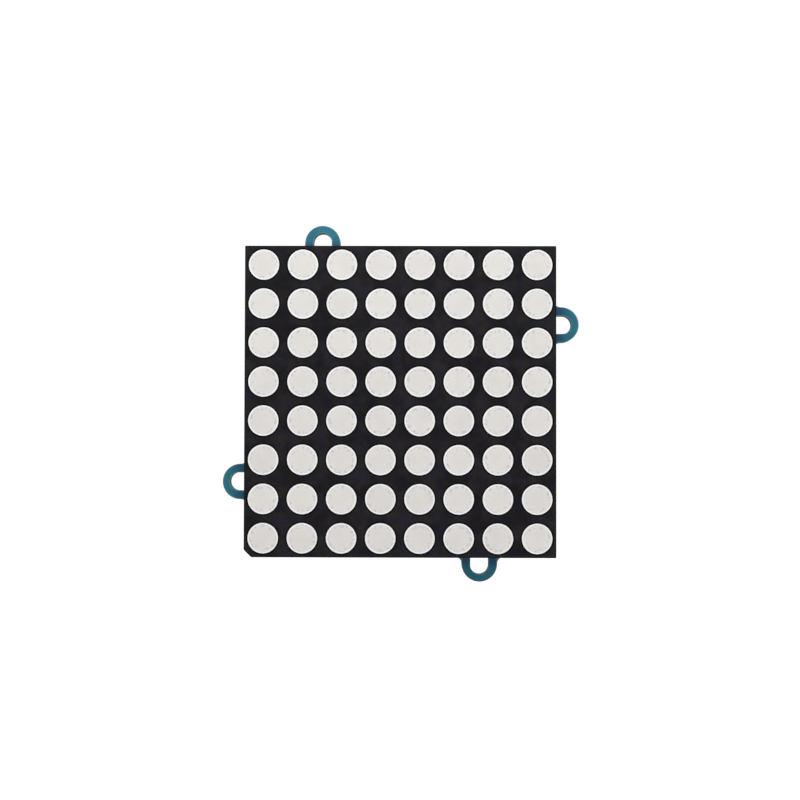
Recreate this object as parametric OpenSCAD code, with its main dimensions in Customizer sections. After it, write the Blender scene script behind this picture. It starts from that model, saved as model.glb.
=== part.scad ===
// Dot matrix display, 8 x 8 round dots, on a square driver carrier board with four ring ears.
//
// Frame: millimetres, +Z up. The display stands upright with its face towards -Y. The
// origin is the middle of the four ear slots, on the rear face of the carrier board.
// Every sub-part is drawn lying down in a board frame: x to the right, y up the face,
// z out of the face, z = 0 on the board's rear face. upright() stands that frame up.
// Rear components are drawn in on_rear(), where x is to the right and y is up as seen
// from behind, and z grows away from the board.

/* [Dot grid] */
// Dots along one side of the grid
dot_count = 8; // [2:2:8]
// Distance between neighbouring dot centres
dot_pitch = 4.76; // [4.5:0.01:4.76]
// Diameter of a dot where it meets the face
dot_d = 3.7; // [2.8:0.1:4.0]
// Diameter of the tapered reflector well at its floor
well_floor_d = 2; // [1.6:0.1:2.1]

/* [Display housing] */
// Width and height of the moulded housing at its face
shell_w = 38; // [37.6:0.1:38.4]
// Depth of the housing from its rear rim to its face
shell_depth = 8; // [7:0.1:9]
// How much each side grows from the face to the rear rim
shell_draft = 0.05; // [0:0.01:0.2]
// Thickness of the housing's side walls
shell_wall = 1.25; // [1:0.05:1.4]
// Thickness of the reflector block that holds the wells
reflector_t = 4; // [3:0.1:4.4]
// Bevel along the four front edges
face_bevel = 0.2; // [0.05:0.05:0.4]
// Radius of the housing's upright corners
shell_corner_r = 0.35; // [0.1:0.05:0.8]
// Flat cut on the corner that marks pin 1
index_cut = 1.05; // [0.5:0.05:1.2]
// Height of the corner feet that lift the housing off the carrier board
foot_h = 0.5; // [0.3:0.1:0.8]

/* [Light source board] */
// Side of the board that carries the light emitting dies
led_board_w = 34.4; // [33:0.1:35]
// Thickness of that board
led_board_t = 1; // [0.6:0.1:1.2]
// Side of one die
die_w = 0.36; // [0.2:0.02:0.5]
// Height of one die
die_h = 0.2; // [0.1:0.02:0.3]
// Thickness of one bond wire
wire_t = 0.06; // [0.04:0.01:0.08]
// Radius of the arch of one bond wire
wire_arch_r = 0.3; // [0.25:0.01:0.35]

/* [Display pins] */
// Pins in each of the two rows
pins_per_row = 8; // [8:1:8]
// Distance between neighbouring pins
pin_pitch = 2.54; // [2.54:0.01:2.54]
// Distance between the two rows
pin_row_gap = 28.56; // [28:0.01:29]
// Diameter of a pin
pin_d = 0.5; // [0.4:0.05:0.6]
// How far a pin stands out behind the carrier board
pin_tail = 1.5; // [1.2:0.1:2]

/* [Carrier board] */
// Width and height of the carrier board without its ears
board_w = 39; // [38.6:0.1:39.4]
// Thickness of the carrier board
board_t = 1.6; // [1.2:0.1:1.6]
// Radius of the carrier board's corners
board_corner_r = 2; // [1:0.1:3]
// Distance of each ear from the middle of its side
ear_along = 10; // [8:0.5:12]
// Distance of the centre of an ear's round end from the board's middle
ear_out = 20.35; // [20.3:0.05:20.45]
// Radius of an ear's round end
ear_r = 2.25; // [2.2:0.05:2.5]
// Radius that the router leaves in the inside corners at an ear's root
ear_root_r = 0.8; // [0.5:0.1:0.8]
// Distance of the middle of an ear's slot from the board's middle
ear_slot_out = 20; // [19.9:0.05:20.1]
// Length of the slot, out along the ear
ear_slot_l = 3.35; // [2.4:0.05:3.4]
// Width of the slot
ear_slot_w = 2.3; // [2.1:0.05:2.4]

/* [Driver chip] */
// Leads on the driver's two long sides together
ic_lead_count = 28; // [16:2:28]
// Distance between neighbouring leads
ic_pitch = 1.27; // [1.27:0.01:1.27]
// Length of the driver's body
ic_l = 17.9; // [17.7:0.1:18.1]
// Width of the driver's body
ic_w = 7.5; // [7.4:0.1:7.6]
// Height of the driver's body
ic_h = 2.3; // [2.2:0.05:2.4]
// Distance from lead tip to lead tip across the driver
ic_span = 10.3; // [10.1:0.05:10.6]

/* [Cable connector] */
// Contacts in the connector
contact_count = 4; // [4:1:4]
// Distance between neighbouring contacts
contact_pitch = 2; // [2:0.1:2]
// Length of the connector's shroud
plug_l = 10; // [9.8:0.1:10.4]
// Width of the connector's shroud
plug_w = 5; // [4.8:0.1:5.4]
// Height of the connector's shroud above the board
plug_h = 7.8; // [7:0.1:8.5]
// Thickness of the shroud's walls
plug_wall = 0.75; // [0.6:0.05:0.9]

/* [Hidden] */
$fn = 48;
eps = 0.05;

// Heights in the board frame, from the rear of the housing to its face
shell_z = board_t + foot_h;
face_z = shell_z + shell_depth;
well_floor_z = face_z - reflector_t;
die_layer = 0.4;
led_board_top = well_floor_z - die_layer;
led_board_z = led_board_top - led_board_t;
rear_recess = 0.5;
potting_z = shell_z + rear_recess;
cavity_w = shell_w - 2 * shell_wall;
foot_d = 1.8;
foot_inset = 1.5;

// Display pins
pin_head_d = 0.8;
pin_head_h = 0.15;
pin_tip = 0.15;
pin_hole_d = 0.9;
pin_pad_d = 1.9;
pin_total = 2 * pins_per_row;
function two_digits(k) = k < 10 ? str("0", k) : str(k);
function pin_name(k) = str("matrix_pin_", two_digits(k));
function pin_x(k) = (k - 1) % pins_per_row * pin_pitch - (pins_per_row - 1) * pin_pitch / 2;
function pin_y(k) = (k <= pins_per_row ? -1 : 1) * pin_row_gap / 2;

// Pads and solder
pad_t = 0.04;
bare_ring = 0.05;
fillet_steps = 4;

// Driver chip, lying along x in the middle of the rear side
ic_at = [1.5, 0.6];
ic_row = ic_lead_count / 2;
function lead_x(i) = ic_at[0] + (i - (ic_row - 1) / 2) * ic_pitch;
ic_standoff = 0.15;
ic_lead_w = 0.42;
ic_lead_t = 0.25;
ic_foot = 0.8;
ic_shoulder = 0.32;
ic_draft = 0.14;
ic_mid = ic_standoff + ic_h / 2;
ic_dimple_r = 0.55;
ic_dimple_h = 0.12;
ic_pad_l = 1.7;
ic_pad_w = 0.62;

// Cable connector, standing across the left side of the rear, with its row along y
plug_at = [-14, 0];
plug_floor = 1.4;
plug_foot_h = 0.3;
plug_foot_l = 1.2;
plug_corner = 0.4;
mouth_bevel = 0.25;
key_w = 1.1;
key_x = 2.9;
key_depth = 5.6;
latch_w = 5.2;
latch_h = 1.3;
latch_drop = 1.6;
contact_w = 0.5;
contact_top = 6.2;
contact_tip = 0.5;
contact_tail = 0.45;
contact_hole_d = 0.9;
contact_pad_d = 1.5;

// Address jumpers: round pads split in two, in line with the driver leads they serve
jumper_x = [for (i = [3, 6, 9]) lead_x(i)];
jumper_y = -6.3;
jumper_r = 0.75;
jumper_gap = 0.3;
address_y = -9.3;

// Chip parts on the rear side: [node, x, y, turn, length, width, height]
CHIPS = [
    ["decoupling_capacitor", 13.1, 2.2, 90, 2.0, 1.25, 0.85],
    ["bulk_capacitor", 15.6, 7.2, 90, 3.2, 1.6, 1.3],
    ["pull_up_resistor_1", -15.3, 8.2, 0, 2.0, 1.25, 0.5],
    ["pull_up_resistor_2", -15.3, 10.6, 0, 2.0, 1.25, 0.5],
    ["address_resistor_1", jumper_x[0], address_y, 90, 2.0, 1.25, 0.5],
    ["address_resistor_2", jumper_x[1], address_y, 90, 2.0, 1.25, 0.5],
    ["address_resistor_3", jumper_x[2], address_y, 90, 2.0, 1.25, 0.5]
];
cap_part = 0.2;
chip_bevel = 0.06;
chip_inset = 0.03;
chip_gap = 0.04;
chip_pad_out = 0.55;
chip_pad_side = 0.15;

// Copper tracks on the rear side, which stand out through the solder mask
track_t = 0.03;
track_w = 0.25;
power_w = 0.5;
via_d = 0.7;
via_hole_d = 0.3;
// Leads of the upper and lower row that drive the display pins, from left to right
UPPER_FAN = [3, 4, 5, 6, 7, 8, 9, 10];
LOWER_FAN = [0, 1, 2, 4, 7, 10, 11, 12];
upper_turn_y = 7;
lower_turn_y = -11;
// Leads of the upper row that change sides at a via, and how high these vias sit
VIA_LEADS = [1, 2, 11, 12];
upper_via_y = 7.2;
address_via_y = -11.4;
clock_bend = [-8.4, 5.2];
SIGNAL_TRACKS = [
    [plug_at + [0, 3], [-10.6, 3], clock_bend, [lead_x(0), clock_bend[1]]],
    [[-14.3, 8.2], [-11.4, 8.2], clock_bend],
    [[-14.3, 10.6], [-12.3, 10.6]],
    [plug_at + [0, 1], [-10.4, 1]]
];
POWER_TRACKS = [
    [plug_at + [0, -1], [-10.4, -1]],
    [plug_at + [0, -3], [-10.4, -3]],
    [[-16.3, 8.2], [-16.3, 12.4]],
    [[15, 5.35], [lead_x(ic_row - 1), 5.35]],
    [[13.1, 3], [13.1, 5.35]],
    [[13.1, 1.2], [13.1, -0.6]],
    [[15.6, 9], [15.6, 10.8]],
    [[lead_x(ic_row - 1), -4.15], [11.4, -4.15]]
];
VIAS = concat(
    [for (i = VIA_LEADS) [lead_x(i), upper_via_y]],
    [for (x = jumper_x) [x, address_via_y]],
    [[-12.3, 10.6], [-10.4, 1], [-10.4, -1], [-10.4, -3], [-16.3, 12.4]],
    [[13.1, -0.6], [15.6, 10.8], [11.4, -4.15]]
);

// ---- Frames and shared shapes ----

module upright() {
    rotate([90, 0, 0]) children();
}

module on_rear() {
    upright() rotate([0, 180, 0]) children();
}

module at_dots() {
    first = -(dot_count - 1) * dot_pitch / 2;
    for (row = [0:dot_count - 1]) {
        for (column = [0:dot_count - 1]) {
            translate([first + column * dot_pitch, first + row * dot_pitch, 0]) children();
        }
    }
}

module at_pin(k) {
    translate([pin_x(k), pin_y(k), 0]) children();
}

module rounded_square(w, r) {
    square([w - 2 * r, w], center = true);
    square([w, w - 2 * r], center = true);
    for (x = [-1, 1]) {
        for (y = [-1, 1]) translate([x * (w / 2 - r), y * (w / 2 - r)]) circle(r);
    }
}

// A profile drawn in x and z, run along y through the origin
module profile_along_y(length) {
    rotate([90, 0, 0]) linear_extrude(length, center = true) children();
}

// A box with its twelve edges bevelled, standing on z = 0
module bevelled_box(size, bevel) {
    translate([0, 0, size[2] / 2]) {
        intersection() {
            linear_extrude(size[2], center = true) bevelled_rectangle(size[0], size[1], bevel);
            rotate([90, 0, 0]) {
                linear_extrude(size[1], center = true) bevelled_rectangle(size[0], size[2], bevel);
            }
            rotate([90, 0, 90]) {
                linear_extrude(size[0], center = true) bevelled_rectangle(size[1], size[2], bevel);
            }
        }
    }
}

module bevelled_rectangle(w, h, bevel) {
    x = w / 2;
    y = h / 2;
    polygon([
        [-x + bevel, -y], [x - bevel, -y], [x, -y + bevel], [x, y - bevel],
        [x - bevel, y], [-x + bevel, y], [-x, y - bevel], [-x, -y + bevel]
    ]);
}

// A line of the given points, t thick, rounded on the outside of each bend
module stroke(points, t) {
    for (i = [0:len(points) - 2]) {
        run = points[i + 1] - points[i];
        translate(points[i]) rotate(atan2(run[1], run[0])) translate([0, -t / 2]) square([norm(run), t]);
    }
    for (i = [1:len(points) - 2]) translate(points[i]) circle(d = t);
}

// Concave quarter of an ellipse from [wide, 0] to [0, tall], as solder wets a pad and a pin
function fillet_curve(wide, tall) = [
    for (i = [0:fillet_steps])
        let (a = 90 * i / fillet_steps) [wide * (1 - sin(a)), tall * (1 - cos(a))]
];

// ---- Display ----

module shell_outline(w) {
    difference() {
        rounded_square(w, shell_corner_r);
        translate([-w / 2, -w / 2]) rotate(45) square(index_cut * sqrt(2), center = true);
    }
}

module shell_profile() {
    rear = shell_w / 2 + shell_draft;
    front = shell_w / 2;
    polygon([
        [-rear, 0], [rear, 0], [front, shell_depth - face_bevel], [front - face_bevel, shell_depth],
        [-front + face_bevel, shell_depth], [-front, shell_depth - face_bevel]
    ]);
}

module shell_block() {
    run = shell_w + 2;
    intersection() {
        linear_extrude(shell_depth) shell_outline(shell_w + 2 * shell_draft);
        profile_along_y(run) shell_profile();
        rotate(90) profile_along_y(run) shell_profile();
    }
}

module wells() {
    over = eps * (dot_d - well_floor_d) / reflector_t;
    at_dots() translate([0, 0, well_floor_z - eps]) {
        cylinder(h = reflector_t + 2 * eps, d1 = well_floor_d - over, d2 = dot_d + over);
    }
}

module reflector_shell() {
    foot_at = shell_w / 2 - foot_inset;
    color("black") upright() {
        difference() {
            translate([0, 0, shell_z]) shell_block();
            wells();
            translate([-cavity_w / 2, -cavity_w / 2, shell_z - eps]) {
                cube([cavity_w, cavity_w, well_floor_z - shell_z + eps]);
            }
        }
        for (x = [-1, 1]) {
            for (y = [-1, 1]) {
                translate([x * foot_at, y * foot_at, board_t]) {
                    cylinder(h = foot_h + rear_recess, d = foot_d);
                }
            }
        }
    }
}

// One casting: 64 dots, the layer over the dies and the potting behind the board
module epoxy_fill() {
    color("gainsboro") upright() {
        difference() {
            union() {
                translate([-cavity_w / 2, -cavity_w / 2, potting_z]) {
                    cube([cavity_w, cavity_w, well_floor_z - potting_z]);
                }
                at_dots() translate([0, 0, well_floor_z]) {
                    cylinder(h = reflector_t, r1 = well_floor_d / 2, r2 = dot_d / 2);
                }
            }
            led_board_block();
            at_dots() die();
            at_dots() bond_wire();
            for (k = [1:pin_total]) at_pin(k) pin_shape();
        }
    }
}

module led_board_block() {
    translate([-led_board_w / 2, -led_board_w / 2, led_board_z]) {
        cube([led_board_w, led_board_w, led_board_t]);
    }
}

module led_board() {
    color("darkgreen") upright() {
        difference() {
            led_board_block();
            for (k = [1:pin_total]) at_pin(k) pin_shape();
        }
    }
}

module die() {
    translate([-die_w / 2, -die_w / 2, led_board_top]) cube([die_w, die_w, die_h]);
}

module led_dies() {
    color("gold") upright() at_dots() die();
}

// A wire with a square section, from the middle of the die's top to the board beside it
module bond_wire() {
    translate([wire_arch_r, 0, led_board_top + die_h]) {
        rotate([90, 0, 0]) linear_extrude(wire_t, center = true) wire_arch();
    }
}

module wire_arch() {
    outer_r = wire_arch_r + wire_t / 2;
    difference() {
        ring(2 * outer_r, 2 * wire_arch_r - wire_t);
        translate([-outer_r - eps, -outer_r - eps]) square([2 * (outer_r + eps), outer_r + eps]);
    }
    translate([wire_arch_r - wire_t / 2, -die_h]) square([wire_t, die_h]);
}

module bond_wires() {
    color("goldenrod") upright() at_dots() bond_wire();
}

// ---- Display pins ----

// A headed wire: the head sits on the light source board, the tip points to the rear
module pin_shape() {
    shank = led_board_top + pin_tail;
    translate([0, 0, -pin_tail]) {
        rotate_extrude() {
            polygon([
                [0, 0], [pin_d / 2 - pin_tip, 0], [pin_d / 2, pin_tip], [pin_d / 2, shank],
                [pin_head_d / 2, shank], [pin_head_d / 2, shank + pin_head_h], [0, shank + pin_head_h]
            ]);
        }
    }
}

module matrix_pin(k) {
    color("silver") upright() at_pin(k) pin_shape();
}

// ---- Carrier board ----

module at_ears(out) {
    for (turn = [0:90:270]) rotate(turn) translate([-ear_along, out, 0]) children();
}

module board_outline() {
    difference() {
        union() {
            rounded_square(board_w, board_corner_r);
            at_ears(ear_out) circle(ear_r);
            at_ears(ear_out - ear_r) square([2 * ear_r, 2 * ear_r], center = true);
            at_ears(board_w / 2) ear_roots();
        }
        at_ears(ear_slot_out) ear_slot();
    }
}

module ear_roots() {
    for (side = [-1, 1]) translate([side * ear_r, 0]) difference() {
        square(2 * ear_root_r, center = true);
        translate([side * ear_root_r, ear_root_r]) circle(ear_root_r);
    }
}

module ear_slot() {
    straight = ear_slot_l - ear_slot_w;
    square([ear_slot_w, straight], center = true);
    for (side = [-1, 1]) translate([0, side * straight / 2]) circle(d = ear_slot_w);
}

module carrier_board() {
    color("teal") upright() {
        difference() {
            linear_extrude(board_t) board_outline();
            for (k = [1:pin_total]) {
                at_pin(k) translate([0, 0, -eps]) cylinder(h = board_t + 2 * eps, d = pin_hole_d);
            }
            rotate([0, 180, 0]) at_contacts() translate([0, 0, -board_t - eps]) {
                cylinder(h = board_t + 2 * eps, d = contact_hole_d);
            }
        }
    }
}

// Bare metal left open in the solder mask: hole rings on both faces, driver lands, chip
// lands and jumpers
module solder_pads() {
    color("lightgray") on_rear() {
        translate([0, 0, -board_t - pad_t]) linear_extrude(pad_t) hole_rings();
        linear_extrude(pad_t) {
            hole_rings();
            surface_lands();
            for (x = jumper_x) translate([x, jumper_y]) jumper();
        }
    }
}

module surface_lands() {
    at_ic_leads() translate([0, ic_span / 2 - ic_foot / 2]) square([ic_pad_w, ic_pad_l], center = true);
    for (chip = CHIPS) at_chip_ends(chip) chip_pad(chip);
}

module hole_rings() {
    for (k = [1:pin_total]) at_pin(k) ring(pin_pad_d, pin_hole_d);
    at_contacts() ring(contact_pad_d, contact_hole_d);
}

module ring(outer_d, inner_d) {
    difference() {
        circle(d = outer_d);
        circle(d = inner_d);
    }
}

module jumper() {
    difference() {
        circle(jumper_r);
        square([2 * jumper_r + eps, jumper_gap], center = true);
    }
}

// Every track stops at the outline of the land that it serves
module copper_tracks() {
    color("darkcyan") on_rear() linear_extrude(track_t) {
        difference() {
            union() {
                pin_fan(UPPER_FAN, ic_at[1] + ic_span / 2, upper_turn_y, 1);
                pin_fan(LOWER_FAN, ic_at[1] - ic_span / 2, lower_turn_y, -1);
                single_tracks();
                for (via = VIAS) translate(via) circle(d = via_d);
            }
            for (via = VIAS) translate(via) circle(d = via_hole_d);
            for (k = [1:pin_total]) at_pin(k) circle(d = pin_pad_d);
            at_contacts() circle(d = contact_pad_d);
            for (x = jumper_x) translate([x, jumper_y]) circle(jumper_r);
            surface_lands();
        }
    }
}

// One track from each named lead, straight, then slanting, then straight into its pin
module pin_fan(leads, lead_y, turn_y, side) {
    for (i = [0:pins_per_row - 1]) {
        from_x = lead_x(leads[i]);
        to_x = pin_x(i + 1);
        slant = side * abs(to_x - from_x);
        bend = [to_x, turn_y + slant];
        stroke([[from_x, lead_y], [from_x, turn_y], bend, [to_x, side * pin_row_gap / 2]], track_w);
    }
}

module single_tracks() {
    for (path = SIGNAL_TRACKS) stroke(path, track_w);
    for (path = POWER_TRACKS) stroke(path, power_w);
    for (i = VIA_LEADS) stroke([[lead_x(i), ic_at[1] + ic_span / 2], [lead_x(i), upper_via_y]], track_w);
    for (x = jumper_x) stroke([[x, ic_at[1] - ic_span / 2], [x, address_via_y]], track_w);
}

// Solder that fills a plated hole and climbs the pin, from z = -depth up to z = height
module hole_solder(hole_d, pad_d, depth, height) {
    polygon(concat(
        [[0, -depth], [hole_d / 2, -depth], [hole_d / 2, pad_t]],
        [for (p = fillet_curve(pad_d / 2 - pin_d / 2, height)) [p[0] + pin_d / 2, p[1] + pad_t]],
        [[0, height + pad_t]]
    ));
}

module matrix_pin_solder() {
    joint_h = 0.95;
    color("silver") upright() {
        for (k = [1:pin_total]) {
            at_pin(k) difference() {
                rotate([180, 0, 0]) rotate_extrude() {
                    hole_solder(pin_hole_d, pin_pad_d - 2 * bare_ring, board_t, joint_h);
                }
                pin_shape();
            }
        }
    }
}

// ---- Driver chip ----

module at_ic_leads() {
    for (side = [0, 180]) {
        translate(ic_at) rotate(side) {
            for (i = [0:ic_row - 1]) translate([lead_x(i) - ic_at[0], 0, 0]) children();
        }
    }
}

// Two drafted mould halves that meet in a band as thick as the leads
module ic_profile(w) {
    band = ic_lead_t / 2;
    polygon([
        [-w / 2 + ic_draft, ic_standoff], [w / 2 - ic_draft, ic_standoff],
        [w / 2, ic_mid - band], [w / 2, ic_mid + band],
        [w / 2 - ic_draft, ic_standoff + ic_h], [-w / 2 + ic_draft, ic_standoff + ic_h],
        [-w / 2, ic_mid + band], [-w / 2, ic_mid - band]
    ]);
}

module driver_ic_body() {
    dimple_at = [-ic_l / 2 + 1.5, -ic_w / 2 + 1.5, ic_standoff + ic_h - ic_dimple_h];
    color("dimgray") on_rear() translate(ic_at) {
        difference() {
            intersection() {
                profile_along_y(ic_w) ic_profile(ic_l);
                rotate(90) profile_along_y(ic_l) ic_profile(ic_w);
            }
            translate(dimple_at) cylinder(h = ic_dimple_h + eps, r = ic_dimple_r);
        }
    }
}

// Side view of one gull wing lead: out of the body, down, and flat on its land
module lead_profile() {
    root = ic_w / 2;
    tip = ic_span / 2;
    foot = pad_t + chip_gap + ic_lead_t / 2;
    stroke([[root, ic_mid], [root + ic_shoulder, ic_mid], [tip - ic_foot, foot], [tip, foot]], ic_lead_t);
}

module driver_ic_leads() {
    color("silver") on_rear() at_ic_leads() {
        rotate([90, 0, 90]) linear_extrude(ic_lead_w, center = true) lead_profile();
    }
}

module driver_ic_solder() {
    tip = ic_span / 2;
    foot = pad_t + chip_gap;
    toe = 0.4;
    climb = 0.2;
    color("silver") on_rear() at_ic_leads() {
        rotate([90, 0, 90]) linear_extrude(ic_lead_w, center = true) {
            polygon(concat(
                [[tip - ic_foot - ic_lead_t, pad_t], [tip, pad_t]],
                [for (p = fillet_curve(toe, climb)) [p[0] + tip, p[1] + pad_t]],
                [[tip, foot], [tip - ic_foot, foot]]
            ));
        }
    }
}

// ---- Cable connector ----

module at_contacts() {
    translate(plug_at) rotate(90) {
        for (i = [0:contact_count - 1]) {
            translate([(i - (contact_count - 1) / 2) * contact_pitch, 0, 0]) children();
        }
    }
}

module connector_housing() {
    inner_l = plug_l - 2 * plug_wall;
    inner_w = plug_w - 2 * plug_wall;
    color("ivory") on_rear() {
        difference() {
            translate(plug_at) rotate(90) shroud(inner_l, inner_w);
            at_contacts() contact_bar();
        }
    }
}

module shroud(inner_l, inner_w) {
    cutter = mouth_bevel * sqrt(2);
    difference() {
        linear_extrude(plug_h) bevelled_rectangle(plug_l, plug_w, plug_corner);
        translate([-inner_l / 2, -inner_w / 2, plug_floor]) cube([inner_l, inner_w, plug_h]);
        // Relief under the floor leaves a foot at each end
        translate([-plug_l / 2 + plug_foot_l, -plug_w / 2 - eps, -eps]) {
            cube([plug_l - 2 * plug_foot_l, plug_w + 2 * eps, plug_foot_h + eps]);
        }
        // Two key slots in one long wall
        for (side = [-1, 1]) {
            translate([side * key_x - key_w / 2, -plug_w / 2 - eps, plug_h - key_depth]) {
                cube([key_w, plug_wall + 2 * eps, key_depth + eps]);
            }
        }
        // Latch window in the other long wall
        translate([-latch_w / 2, plug_w / 2 - plug_wall - eps, plug_h - latch_drop - latch_h]) {
            cube([latch_w, plug_wall + 2 * eps, latch_h]);
        }
        // Lead-in bevel round the mouth
        for (side = [-1, 1]) {
            translate([0, side * inner_w / 2, plug_h]) rotate([45, 0, 0]) {
                cube([inner_l, cutter, cutter], center = true);
            }
            translate([side * inner_l / 2, 0, plug_h]) rotate([0, 45, 0]) {
                cube([cutter, inner_w, cutter], center = true);
            }
        }
    }
}

module contact_bar() {
    tail = board_t + contact_tail;
    translate([-contact_w / 2, -contact_w / 2, -tail]) cube([contact_w, contact_w, tail + contact_top]);
}

// A square pin whose top narrows to a blunt point
module contact_shape() {
    tail = board_t + contact_tail;
    half = contact_w / 2;
    intersection() {
        contact_bar();
        profile_along_y(contact_w) contact_profile(half, tail);
        rotate(90) profile_along_y(contact_w) contact_profile(half, tail);
    }
}

module contact_profile(half, tail) {
    point = half / 3;
    polygon([
        [-half, -tail], [half, -tail], [half, contact_top - contact_tip], [point, contact_top],
        [-point, contact_top], [-half, contact_top - contact_tip]
    ]);
}

module connector_pin(k) {
    place = (k - (contact_count + 1) / 2) * contact_pitch;
    color("gold") on_rear() translate(plug_at) rotate(90) translate([place, 0, 0]) contact_shape();
}

module connector_solder() {
    joint_h = 0.35;
    color("silver") on_rear() at_contacts() {
        difference() {
            translate([0, 0, -board_t]) rotate([180, 0, 0]) rotate_extrude() {
                hole_solder(contact_hole_d, contact_pad_d - 2 * bare_ring, board_t, joint_h);
            }
            contact_bar();
        }
    }
}

// ---- Chip capacitors and resistors ----

module at_chip(chip) {
    translate([chip[1], chip[2], 0]) rotate(chip[3]) children();
}

module at_chip_ends(chip) {
    at_chip(chip) {
        for (side = [0, 180]) rotate(side) translate([chip[4] / 2, 0, 0]) children();
    }
}

module chip_pad(chip) {
    cap = chip[4] * cap_part;
    square_l = cap + chip_pad_out + chip_pad_side;
    translate([(chip_pad_out - cap - chip_pad_side) / 2, 0]) {
        square([square_l, chip[5] + 2 * chip_pad_side], center = true);
    }
}

// The ceramic between the two end caps
module chip_part(chip) {
    shade = chip[6] < 0.6 ? "black" : "tan";
    length = chip[4] * (1 - 2 * cap_part);
    color(shade) on_rear() at_chip(chip) {
        translate([-length / 2, chip_inset - chip[5] / 2, pad_t + chip_gap + chip_inset]) {
            cube([length, chip[5] - 2 * chip_inset, chip[6] - 2 * chip_inset]);
        }
    }
}

module chip_end_caps() {
    color("lightgray") on_rear() {
        for (chip = CHIPS) {
            at_chip_ends(chip) translate([-chip[4] * cap_part / 2, 0, pad_t + chip_gap]) {
                bevelled_box([chip[4] * cap_part, chip[5], chip[6]], chip_bevel);
            }
        }
    }
}

module chip_solder() {
    color("silver") on_rear() {
        for (chip = CHIPS) at_chip_ends(chip) rotate([90, 0, 0]) {
            linear_extrude(chip[5] - 2 * chip_bevel, center = true) chip_solder_profile(chip);
        }
    }
}

module chip_solder_profile(chip) {
    cap = chip[4] * cap_part;
    under = pad_t + chip_gap;
    climb = min(chip[6] * 0.7, 0.6);
    polygon(concat(
        [[-cap + chip_bevel, pad_t], [0, pad_t]],
        [for (p = fillet_curve(chip_pad_out - eps, climb)) [p[0], p[1] + pad_t]],
        [[0, under + chip_bevel], [-chip_bevel, under], [-cap + chip_bevel, under]]
    ));
}

// ---- One line a node ----

reflector_shell();
epoxy_fill();
led_board();
led_dies();
bond_wires();
for (k = [1:pin_total]) matrix_pin(k);
carrier_board();
copper_tracks();
solder_pads();
matrix_pin_solder();
driver_ic_body();
driver_ic_leads();
driver_ic_solder();
connector_housing();
for (k = [1:contact_count]) connector_pin(k);
connector_solder();
for (chip = CHIPS) chip_part(chip);
chip_end_caps();
chip_solder();
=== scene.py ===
"""Looks of the dot matrix display module: materials, studio and camera.

Metres, in the frame of the CAD model: the display face looks towards -Y, +Z is up, and the
origin is on the rear face of the carrier board. Every CAD node stays as it is and gets a
procedural material here."""

import math

import bpy
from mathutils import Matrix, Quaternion, Vector


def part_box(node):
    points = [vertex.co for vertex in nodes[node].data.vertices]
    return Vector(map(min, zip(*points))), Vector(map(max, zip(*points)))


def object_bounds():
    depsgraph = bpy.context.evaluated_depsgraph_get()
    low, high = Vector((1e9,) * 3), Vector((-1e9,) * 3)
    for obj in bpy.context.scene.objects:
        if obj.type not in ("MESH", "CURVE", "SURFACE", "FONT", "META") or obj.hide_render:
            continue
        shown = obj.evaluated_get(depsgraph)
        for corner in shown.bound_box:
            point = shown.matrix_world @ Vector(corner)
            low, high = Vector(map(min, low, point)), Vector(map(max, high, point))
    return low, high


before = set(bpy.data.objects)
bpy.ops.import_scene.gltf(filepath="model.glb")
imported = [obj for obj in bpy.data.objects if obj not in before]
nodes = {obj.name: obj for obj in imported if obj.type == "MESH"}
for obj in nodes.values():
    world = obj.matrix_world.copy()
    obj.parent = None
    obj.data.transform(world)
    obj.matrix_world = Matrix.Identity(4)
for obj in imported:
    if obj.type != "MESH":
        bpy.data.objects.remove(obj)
cad_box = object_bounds()
scene = bpy.context.scene

MM = 0.001

# ---- Sizes ----

shell_low, shell_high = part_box("reflector_shell")
board_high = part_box("carrier_board")[1]
dots_low, dots_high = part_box("epoxy_fill")
FACE_Y = shell_low.y
SHELL_HALF = shell_high.x
DOT_PITCH = 4.76 * MM
DOTS_PER_SIDE = round((dots_high.x - dots_low.x) / DOT_PITCH)
DOT_R = (dots_high.x - dots_low.x - (DOTS_PER_SIDE - 1) * DOT_PITCH) / 2
BOARD_TIP = board_high.x

# The carrier board's outline, as the part's source draws it
BOARD_HALF = 19.5 * MM
EAR_ALONG = 10 * MM
EAR_R = 2.25 * MM
EAR_OUT = BOARD_TIP - EAR_R
SLOT_OUT = 20 * MM
SLOT_R = 1.15 * MM
SLOT_REACH = 0.525 * MM


# ---- Shader helpers ----


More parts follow.
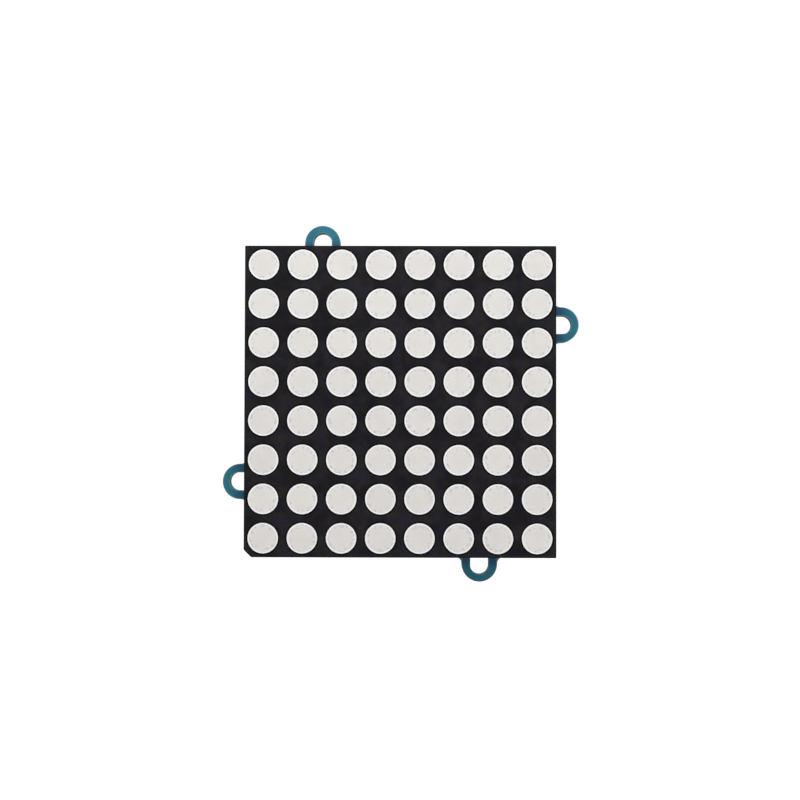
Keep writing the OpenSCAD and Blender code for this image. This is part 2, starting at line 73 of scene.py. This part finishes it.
class Look:
    """A material under construction: one Principled shader and short calls for what feeds it."""

    def __init__(self, name, roughness=0.5, metallic=0.0, specular=0.5):
        self.material = bpy.data.materials.new(name)
        self.material.use_nodes = True
        self.tree = self.material.node_tree
        self.tree.nodes.clear()
        self.shader = self.tree.nodes.new("ShaderNodeBsdfPrincipled")
        output = self.tree.nodes.new("ShaderNodeOutputMaterial")
        self.tree.links.new(self.shader.outputs["BSDF"], output.inputs["Surface"])
        self.shader.inputs["Roughness"].default_value = roughness
        self.shader.inputs["Metallic"].default_value = metallic
        self.shader.inputs["Specular IOR Level"].default_value = specular
        self.place = self.tree.nodes.new("ShaderNodeTexCoord").outputs["Object"]

    def feed(self, socket, value):
        if isinstance(value, bpy.types.NodeSocket):
            self.tree.links.new(value, socket)
        elif isinstance(value, tuple) and len(value) == 3 and len(socket.default_value) == 4:
            socket.default_value = (*value, 1.0)
        else:
            socket.default_value = value

    def set(self, **inputs):
        names = {"color": "Base Color", "roughness": "Roughness", "normal": "Normal"}
        for key, value in inputs.items():
            self.feed(self.shader.inputs[names[key]], value)
        return self.material

    def math(self, operation, *values):
        node = self.tree.nodes.new("ShaderNodeMath")
        node.operation = operation
        for socket, value in zip(node.inputs, values):
            self.feed(socket, value)
        return node.outputs["Value"]

    def ramp(self, value, low, high, to_low=0.0, to_high=1.0):
        """value from low to high becomes a smooth step from to_low to to_high."""
        node = self.tree.nodes.new("ShaderNodeMapRange")
        node.interpolation_type = "SMOOTHSTEP"
        for socket, number in zip(node.inputs, (value, low, high, to_low, to_high)):
            self.feed(socket, number)
        return node.outputs["Result"]

    def mix(self, share, first, second):
        node = self.tree.nodes.new("ShaderNodeMix")
        node.data_type = "RGBA"
        self.feed(node.inputs["Factor"], share)
        self.feed(node.inputs[6], first)
        self.feed(node.inputs[7], second)
        return node.outputs[2]

    def noise(self, size, detail=3.0, roughness=0.5, offset=None):
        """Noise from 0 to 1 whose blotches are about size metres across."""
        node = self.tree.nodes.new("ShaderNodeTexNoise")
        node.inputs["Scale"].default_value = 1 / size
        node.inputs["Detail"].default_value = detail
        node.inputs["Roughness"].default_value = roughness
        self.feed(node.inputs["Vector"], self.place if offset is None else self.shift(offset))
        return node.outputs["Fac"]

    def shift(self, offset):
        node = self.tree.nodes.new("ShaderNodeVectorMath")
        node.operation = "ADD"
        self.feed(node.inputs[0], self.place)
        node.inputs[1].default_value = offset
        return node.outputs["Vector"]

    def axes(self, vector=None):
        node = self.tree.nodes.new("ShaderNodeSeparateXYZ")
        self.feed(node.inputs["Vector"], self.place if vector is None else vector)
        return node.outputs

    def facing(self):
        """The surface's own direction, as three sockets."""
        node = self.tree.nodes.new("ShaderNodeNewGeometry")
        return self.axes(node.outputs["Normal"])

    def bump(self, height, depth, strength=1.0, base=None):
        node = self.tree.nodes.new("ShaderNodeBump")
        node.inputs["Distance"].default_value = depth
        node.inputs["Strength"].default_value = strength
        self.feed(node.inputs["Height"], height)
        if base is not None:
            self.feed(node.inputs["Normal"], base)
        return node.outputs["Normal"]


def srgb(*levels):
    """Linear colour for a colour named by its screen levels, 0 to 255."""
    out = []
    for level in levels:
        c = level / 255
        out.append(c / 12.92 if c <= 0.04045 else ((c + 0.055) / 1.055) ** 2.4)
    return tuple(out)


def dress(material, *names):
    """Every slot of the named CAD nodes takes the material."""
    for name in names:
        mesh = nodes[name].data
        if not mesh.materials:
            mesh.materials.append(material)
        for i in range(len(mesh.materials)):
            mesh.materials[i] = material


# ---- Display ----


def dot_cell(look):
    """Distance from the nearest dot centre on the face, and the dot's own random number."""
    axes = look.axes()
    parts = []
    cells = []
    for axis in ("X", "Z"):
        steps = look.math("DIVIDE", axes[axis], DOT_PITCH)
        cells.append(look.math("FLOOR", steps))
        parts.append(look.math("MULTIPLY", look.math("SUBTRACT", look.math("FRACT", steps), 0.5), DOT_PITCH))
    squares = [look.math("MULTIPLY", part, part) for part in parts]
    radius = look.math("SQRT", look.math("ADD", *squares))
    cell = look.tree.nodes.new("ShaderNodeCombineXYZ")
    look.feed(cell.inputs["X"], cells[0])
    look.feed(cell.inputs["Y"], cells[1])
    random = look.tree.nodes.new("ShaderNodeTexWhiteNoise")
    look.feed(random.inputs["Vector"], cell.outputs["Vector"])
    return radius, random


def housing_black():
    """Black plastic with a printed face: blotches and a fine grain, darker round each dot and at the rim."""
    look = Look("housing_black", specular=0.06)
    radius, _ = dot_cell(look)
    blotch = look.ramp(look.noise(2.6 * MM, detail=4), 0.36, 0.64)
    tint = look.ramp(look.noise(0.9 * MM, detail=2, offset=(0.3, 0.1, 0.7)), 0.4, 0.6)
    cool = look.mix(blotch, srgb(18, 17, 25), srgb(31, 29, 38))
    warm = look.mix(blotch, srgb(23, 20, 21), srgb(36, 33, 33))
    color = look.mix(tint, cool, warm)
    reach = square_reach(look)
    ring = look.ramp(radius, DOT_R + 0.12 * MM, DOT_R + 0.28 * MM, 1.0, 0.0)
    border = look.ramp(reach, SHELL_HALF - 0.30 * MM, SHELL_HALF - 0.10 * MM)
    color = look.mix(look.math("MAXIMUM", ring, border), color, srgb(2, 2, 2))
    front = look.ramp(look.math("MULTIPLY", look.facing()["Y"], -1.0), 0.5, 0.8)
    color = look.mix(front, srgb(25, 24, 27), color)
    grain = look.noise(0.14 * MM, detail=2)
    roughness = look.ramp(look.noise(2.4 * MM), 0.3, 0.7, 0.42, 0.58)
    normal = look.bump(grain, 0.012 * MM, 0.5)
    return look.set(color=color, roughness=roughness, normal=normal)


def milky_epoxy():
    """Cast epoxy: warm grey in the middle of a dot, cooler outwards, near white at its edge."""
    look = Look("milky_epoxy", specular=0.45)
    radius, random = dot_cell(look)
    outward = look.ramp(radius, 0.25 * DOT_R, 0.9 * DOT_R)
    color = look.mix(outward, srgb(218, 214, 209), srgb(222, 219, 217))
    tone = look.mix(random.outputs["Value"], srgb(214, 208, 206), srgb(224, 222, 216))
    color = look.mix(0.35, color, tone)
    cloud = look.ramp(look.noise(1.6 * MM, detail=3), 0.35, 0.65, 0.0, 0.3)
    color = look.mix(cloud, color, srgb(228, 225, 222))
    near_edge = look.ramp(radius, 0.55 * DOT_R, 0.8 * DOT_R)
    flecks = look.ramp(look.noise(0.30 * MM, detail=3), 0.52, 0.64, 0.0, 0.9)
    color = look.mix(look.math("MULTIPLY", near_edge, flecks), color, srgb(196, 193, 192))
    rim = look.ramp(radius, DOT_R - 0.24 * MM, DOT_R - 0.12 * MM)
    color = look.mix(rim, color, srgb(240, 240, 241))
    normal = look.bump(look.noise(0.9 * MM, detail=3), 0.02 * MM, 0.25)
    return look.set(color=color, roughness=0.34, normal=normal)


def laminate():
    look = Look("laminate", roughness=0.55)
    weave = look.ramp(look.noise(0.4 * MM, detail=4), 0.35, 0.65)
    return look.set(color=look.mix(weave, srgb(168, 172, 128), srgb(190, 190, 150)))


# ---- Carrier board ----


def ear_distance(look, out, reach=0.0):
    """Distance from the nearest ear's point that lies out from the middle, or from a short line
    that runs reach either way from it, inwards and outwards."""
    axes = look.axes()
    nearest = None
    for x, z in ((-EAR_ALONG, out), (out, EAR_ALONG), (EAR_ALONG, -out), (-out, -EAR_ALONG)):
        gaps = {}
        for axis, middle in (("X", x), ("Z", z)):
            gaps[axis] = look.math("ABSOLUTE", look.math("SUBTRACT", axes[axis], middle))
        outward = "X" if abs(x) > abs(z) else "Z"
        gaps[outward] = look.math("MAXIMUM", look.math("SUBTRACT", gaps[outward], reach), 0.0)
        squares = [look.math("MULTIPLY", gap, gap) for gap in gaps.values()]
        distance = look.math("SQRT", look.math("ADD", *squares))
        nearest = distance if nearest is None else look.math("MINIMUM", nearest, distance)
    return nearest


def square_reach(look):
    """How far out a point lies: half the side of the centred square that passes through it."""
    axes = look.axes()
    return look.math("MAXIMUM", look.math("ABSOLUTE", axes["X"]), look.math("ABSOLUTE", axes["Z"]))


def edge_distance(look):
    """How far a point of the board's flat faces lies inside its routed edge, slots included."""
    in_square = look.math("SUBTRACT", BOARD_HALF, square_reach(look))
    root_to_tip = EAR_OUT - BOARD_HALF
    in_ear = look.math("SUBTRACT", EAR_R, ear_distance(look, BOARD_HALF + root_to_tip / 2, root_to_tip / 2))
    outer = look.math("MAXIMUM", in_square, in_ear)
    slot = look.math("SUBTRACT", ear_distance(look, SLOT_OUT, SLOT_REACH), SLOT_R)
    return look.math("MINIMUM", outer, slot)


def mask_color(look):
    """Teal with patches that are fainter on the rear; an ear has painted shade, darker and bluer, at its root
    on the front where the housing shades it, and painted light, brighter and greener, at its tip.
    """
    rear = look.ramp(look.facing()["Y"], 0.2, 0.8, 1.0, 0.3)
    cloud = look.ramp(look.noise(2.2 * MM, detail=3), 0.3, 0.7)
    color = look.mix(look.math("MULTIPLY", cloud, rear), srgb(30, 98, 122), srgb(44, 122, 150))
    blue = look.ramp(look.noise(0.8 * MM, detail=2, offset=(0.5, 0.2, 0.1)), 0.45, 0.7, 0.0, 0.5)
    color = look.mix(look.math("MULTIPLY", blue, rear), color, srgb(34, 90, 146))
    reach = square_reach(look)
    # painted light: the ear tips are brighter and greener, out of the housing's shade
    tip_light = look.ramp(reach, BOARD_HALF + 0.8 * MM, BOARD_TIP - 0.8 * MM)
    # painted shade: the ear roots are darker and bluer on the front, where the housing shades them
    root_shade = look.ramp(reach, BOARD_HALF + 0.2 * MM, BOARD_HALF + 1.6 * MM, 1.0, 0.0)
    color = look.mix(look.math("MULTIPLY", root_shade, rear), color, srgb(24, 80, 116))
    return look.mix(look.math("MULTIPLY", tip_light, 0.55), color, srgb(34, 126, 140))


def solder_mask():
    """Glossy teal mask on both faces. It stops just short of the routed edge in a pale strip that is also a
    painted highlight along that edge, and the edge shows laminate.
    """
    look = Look("solder_mask", specular=0.22)
    color = mask_color(look)
    # pale strip at the routed edge: real mask pull-back, lightened further as a painted highlight where the
    # edge catches light
    pullback_and_highlight = look.ramp(edge_distance(look), 0.06 * MM, 0.14 * MM, 0.55, 0.0)
    color = look.mix(pullback_and_highlight, color, srgb(122, 150, 152))
    flat = look.math("ABSOLUTE", look.facing()["Y"])
    side = look.ramp(flat, 0.4, 0.6, 1.0, 0.0)
    layers = look.ramp(look.noise(0.12 * MM, detail=2), 0.4, 0.6)
    core = look.mix(layers, srgb(28, 62, 74), srgb(46, 82, 92))
    color = look.mix(side, color, core)
    roughness = look.ramp(side, 0.0, 1.0, 0.28, 0.7)
    normal = look.bump(look.noise(0.7 * MM, detail=4), 0.02 * MM, 0.35)
    return look.set(color=color, roughness=roughness, normal=normal)


def masked_copper():
    """Mask over a copper line: a shade lighter and greener than over bare laminate."""
    look = Look("masked_copper", specular=0.22)
    color = look.mix(0.45, mask_color(look), srgb(84, 158, 166))
    normal = look.bump(look.noise(0.7 * MM, detail=4), 0.02 * MM, 0.35)
    return look.set(color=color, roughness=0.28, normal=normal)


def tin(name, color, roughness, spread=0.08):
    """Tinned or soldered metal with a slightly uneven gloss."""
    look = Look(name, metallic=1.0)
    cloud = look.ramp(look.noise(0.5 * MM, detail=3), 0.3, 0.7)
    dull = tuple(0.82 * c for c in color)
    gloss = look.ramp(look.noise(0.25 * MM, detail=2), 0.3, 0.7, roughness - spread, roughness + spread)
    normal = look.bump(look.noise(0.4 * MM, detail=2), 0.01 * MM, 0.2)
    return look.set(color=look.mix(cloud, dull, color), roughness=gloss, normal=normal)


# ---- Rear components ----


def mould_compound():
    look = Look("mould_compound", specular=0.4)
    specks = look.ramp(look.noise(0.12 * MM, detail=2), 0.55, 0.75)
    color = look.mix(specks, srgb(28, 28, 30), srgb(48, 47, 48))
    normal = look.bump(look.noise(0.1 * MM, detail=3), 0.01 * MM, 0.5)
    return look.set(color=color, roughness=0.58, normal=normal)


def nylon():
    look = Look("nylon", specular=0.45)
    cloud = look.ramp(look.noise(2.5 * MM, detail=3), 0.3, 0.7)
    color = look.mix(cloud, srgb(226, 221, 206), srgb(236, 232, 220))
    normal = look.bump(look.noise(0.3 * MM, detail=3), 0.012 * MM, 0.4)
    return look.set(color=color, roughness=0.42, normal=normal)


def ceramic():
    look = Look("ceramic")
    cloud = look.ramp(look.noise(0.3 * MM, detail=3), 0.3, 0.7)
    normal = look.bump(look.noise(0.12 * MM, detail=3), 0.008 * MM, 0.5)
    color = look.mix(cloud, srgb(150, 118, 84), srgb(172, 140, 102))
    return look.set(color=color, roughness=0.5, normal=normal)


def resistor():
    """Black glaze on the top face, white ceramic on the sides."""
    look = Look("resistor")
    top = look.ramp(look.facing()["Y"], 0.5, 0.8)
    cloud = look.ramp(look.noise(0.3 * MM, detail=3), 0.3, 0.7)
    side = look.mix(cloud, srgb(205, 203, 196), srgb(222, 220, 214))
    glaze = look.mix(cloud, srgb(24, 24, 27), srgb(34, 34, 37))
    roughness = look.ramp(top, 0.0, 1.0, 0.6, 0.3)
    return look.set(color=look.mix(top, side, glaze), roughness=roughness)


matrix_pins = [n for n in nodes if n.startswith("matrix_pin_") and n[-1].isdigit()]
solder_joints = ("matrix_pin_solder", "driver_ic_solder", "connector_solder", "chip_solder")

dress(housing_black(), "reflector_shell")
dress(milky_epoxy(), "epoxy_fill")
dress(laminate(), "led_board")
dress(tin("die_metal", (0.72, 0.62, 0.34), 0.35), "led_dies")
dress(tin("gold_wire", (0.85, 0.62, 0.25), 0.25), "bond_wires")
dress(solder_mask(), "carrier_board")
dress(masked_copper(), "copper_tracks")
dress(tin("tinned_wire", (0.54, 0.53, 0.50), 0.32), *matrix_pins)
dress(tin("tinned_land", (0.56, 0.55, 0.52), 0.38), "solder_pads")
dress(tin("solder_joint", (0.52, 0.52, 0.53), 0.26), *solder_joints)
dress(tin("lead_frame", (0.48, 0.48, 0.48), 0.36), "driver_ic_leads")
dress(tin("end_cap", (0.54, 0.53, 0.52), 0.42), "chip_end_caps")
dress(tin("contact", (0.58, 0.55, 0.46), 0.30), *[n for n in nodes if n.startswith("connector_pin_")])
dress(mould_compound(), "driver_ic_body")
dress(nylon(), "connector_housing")
dress(ceramic(), "decoupling_capacitor", "bulk_capacitor")
dress(resistor(), *[n for n in nodes if "_resistor_" in n])


# ---- Studio ----

FLOOR_DROP = 75 * MM
FLOOR_HALF = 4.0
FLOOR_GLOW = 0.75
BACKGROUND_WHITE = 1.05
AMBIENT = 0.388
KEY_WATTS = 0.278
FILL_WATTS = 0.12
REAR_WATTS = 1.4


def background_rays(tree):
    """1 for the rays that should see a plain white background: camera, glossy and transmission."""
    path = tree.nodes.new("ShaderNodeLightPath")
    first = tree.nodes.new("ShaderNodeMath")
    first.operation = "MAXIMUM"
    tree.links.new(path.outputs["Is Camera Ray"], first.inputs[0])
    tree.links.new(path.outputs["Is Glossy Ray"], first.inputs[1])
    second = tree.nodes.new("ShaderNodeMath")
    second.operation = "MAXIMUM"
    tree.links.new(first.outputs["Value"], second.inputs[0])
    tree.links.new(path.outputs["Is Transmission Ray"], second.inputs[1])
    return second.outputs["Value"]


def add_world():
    world = bpy.data.worlds.new("studio")
    world.use_nodes = True
    tree = world.node_tree
    tree.nodes.clear()
    ambient = tree.nodes.new("ShaderNodeBackground")
    ambient.inputs["Color"].default_value = (1, 1, 1, 1)
    ambient.inputs["Strength"].default_value = AMBIENT
    white = tree.nodes.new("ShaderNodeBackground")
    white.inputs["Color"].default_value = (1, 1, 1, 1)
    white.inputs["Strength"].default_value = BACKGROUND_WHITE
    pick = tree.nodes.new("ShaderNodeMixShader")
    output = tree.nodes.new("ShaderNodeOutputWorld")
    tree.links.new(background_rays(tree), pick.inputs["Fac"])
    tree.links.new(ambient.outputs["Background"], pick.inputs[1])
    tree.links.new(white.outputs["Background"], pick.inputs[2])
    tree.links.new(pick.outputs["Shader"], output.inputs["Surface"])
    scene.world = world


def floor_material():
    """White to the camera, with the object's shadow kept: a lit white plus a glow only background rays see."""
    material = bpy.data.materials.new("floor_white")
    material.use_nodes = True
    tree = material.node_tree
    tree.nodes.clear()
    lit = tree.nodes.new("ShaderNodeBsdfDiffuse")
    lit.inputs["Color"].default_value = (0.8, 0.8, 0.8, 1)
    glow = tree.nodes.new("ShaderNodeEmission")
    glow.inputs["Color"].default_value = (1, 1, 1, 1)
    strength = tree.nodes.new("ShaderNodeMath")
    strength.operation = "MULTIPLY"
    strength.inputs[1].default_value = FLOOR_GLOW
    both = tree.nodes.new("ShaderNodeAddShader")
    output = tree.nodes.new("ShaderNodeOutputMaterial")
    tree.links.new(background_rays(tree), strength.inputs[0])
    tree.links.new(strength.outputs["Value"], glow.inputs["Strength"])
    tree.links.new(lit.outputs["BSDF"], both.inputs[0])
    tree.links.new(glow.outputs["Emission"], both.inputs[1])
    tree.links.new(both.outputs["Shader"], output.inputs["Surface"])
    return material


def add_floor():
    half = FLOOR_HALF
    level = cad_box[0][2] - FLOOR_DROP
    mesh = bpy.data.meshes.new("floor")
    corners = [(-half, -half, level), (half, -half, level), (half, half, level), (-half, half, level)]
    mesh.from_pydata(corners, [], [(0, 1, 2, 3)])
    mesh.materials.append(floor_material())
    floor = bpy.data.objects.new("floor", mesh)
    scene.collection.objects.link(floor)


def add_lamp(name, place, size, watts):
    """A soft square lamp that looks at the middle of the object."""
    data = bpy.data.lights.new(name, "AREA")
    data.shape = "SQUARE"
    data.size = size
    data.energy = watts
    lamp = bpy.data.objects.new(name, data)
    lamp.location = place
    lamp.rotation_euler = Vector(place).to_track_quat("Z", "Y").to_euler()
    scene.collection.objects.link(lamp)


# ---- Camera ----

SENSOR = 36.0
CAMERA_DISTANCE = 190 * MM
CAMERA_RIGHT = math.radians(0.55)
CAMERA_BELOW = math.radians(1.59)
CAMERA_ROLL = math.radians(0.14)
VIEW_WIDTH = 97.34 * MM
AIM = Vector((-0.02 * MM, FACE_Y, 0.16 * MM))


def add_camera():
    """A camera almost straight in front of the face, a little to the right of it and below."""
    data = bpy.data.cameras.new("camera")
    data.sensor_width = SENSOR
    data.lens = SENSOR * CAMERA_DISTANCE / VIEW_WIDTH
    data.clip_start = 0.01
    away = Vector((math.sin(CAMERA_RIGHT), -math.cos(CAMERA_BELOW), -math.sin(CAMERA_BELOW))).normalized()
    camera = bpy.data.objects.new("camera", data)
    camera.location = AIM + CAMERA_DISTANCE * away
    turn = away.to_track_quat("Z", "Y") @ Quaternion((0, 0, 1), CAMERA_ROLL)
    camera.rotation_euler = turn.to_euler()
    scene.collection.objects.link(camera)
    scene.camera = camera


add_world()
add_floor()
add_lamp("key", (-0.01, -0.16, 0.13), 0.12, KEY_WATTS)
add_lamp("fill", (0.20, -0.30, -0.02), 0.30, FILL_WATTS)
add_lamp("rear", (0.15, 0.45, 0.35), 0.40, REAR_WATTS)
add_camera()
scene.view_settings.view_transform = "Standard"
